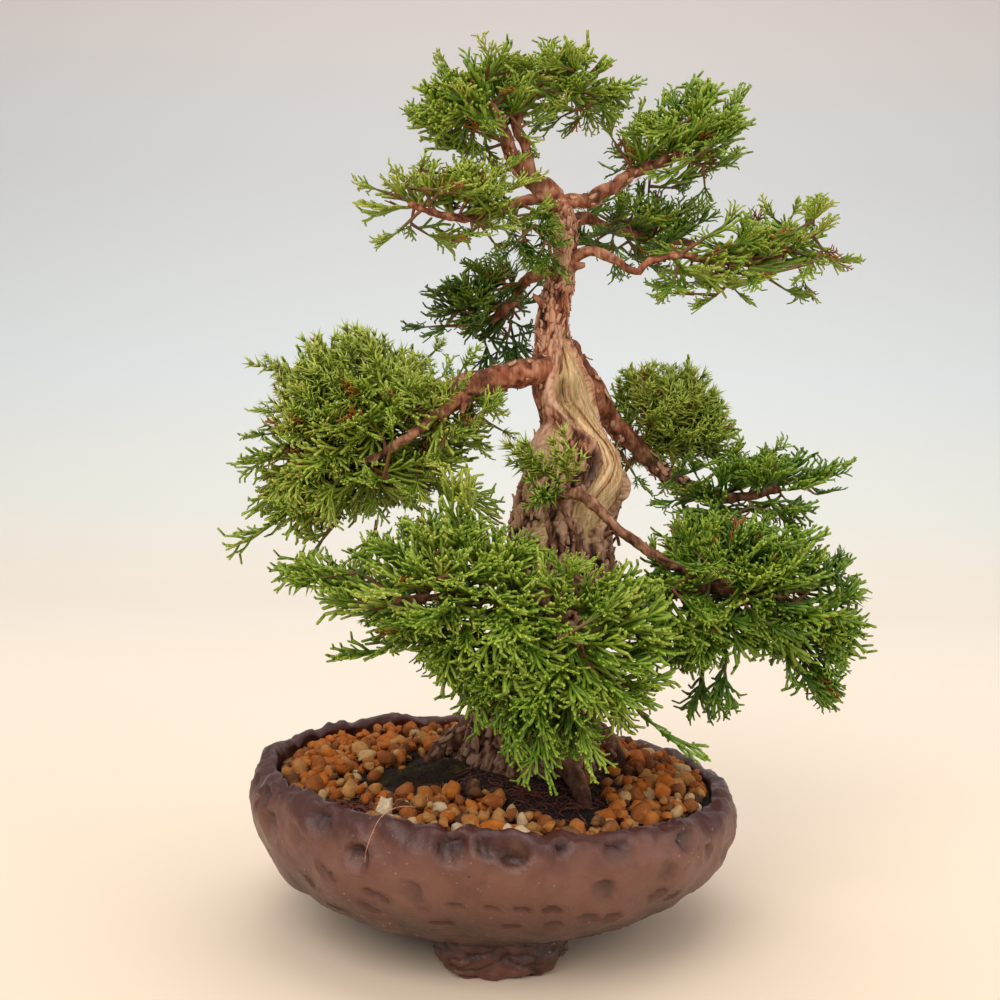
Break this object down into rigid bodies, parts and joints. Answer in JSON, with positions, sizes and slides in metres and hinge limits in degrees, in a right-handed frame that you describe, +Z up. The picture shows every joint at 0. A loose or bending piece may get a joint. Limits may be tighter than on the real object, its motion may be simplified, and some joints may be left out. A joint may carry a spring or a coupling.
{
  "type": "potted juniper bonsai",
  "caption": "Small juniper bonsai with a twisted trunk and separate leaf pads, growing in a round hand-pinched stoneware pot on three feet.",
  "frame": {"origin": "middle of the whole object's footprint box, on the surface it stands on", "axes": "+Z up, +X to the right seen from the tree's front, +Y away from the viewer"},
  "size_m": [0.2057, 0.1618, 0.2961],
  "materials": {
    "fired_clay": "matte",
    "screen_plastic": "matte",
    "clip_wire": "satin",
    "soil": "matte",
    "stones": "matte",
    "moss": "matte",
    "bark": "matte",
    "leaves": "matte"
  },
  "bodies": {
    "root": {"pot": "fired_clay", "drain_screen": "screen_plastic", "screen_clip": "clip_wire", "soil": "soil", "stone_layer": "stones", "moss": "moss", "trunk_and_branches": "bark", "foliage_left": "leaves", "foliage_front": "leaves", "foliage_right": "leaves", "foliage_right_tip": "leaves", "foliage_back_right": "leaves", "foliage_sprout": "leaves", "foliage_crown_left": "leaves", "foliage_crown_top": "leaves", "foliage_crown_right": "leaves", "foliage_upper_left": "leaves", "foliage_back_left": "leaves", "foliage_mid_right": "leaves", "foliage_far_right": "leaves", "foliage_collar": "leaves"}
  },
  "joints": []
}
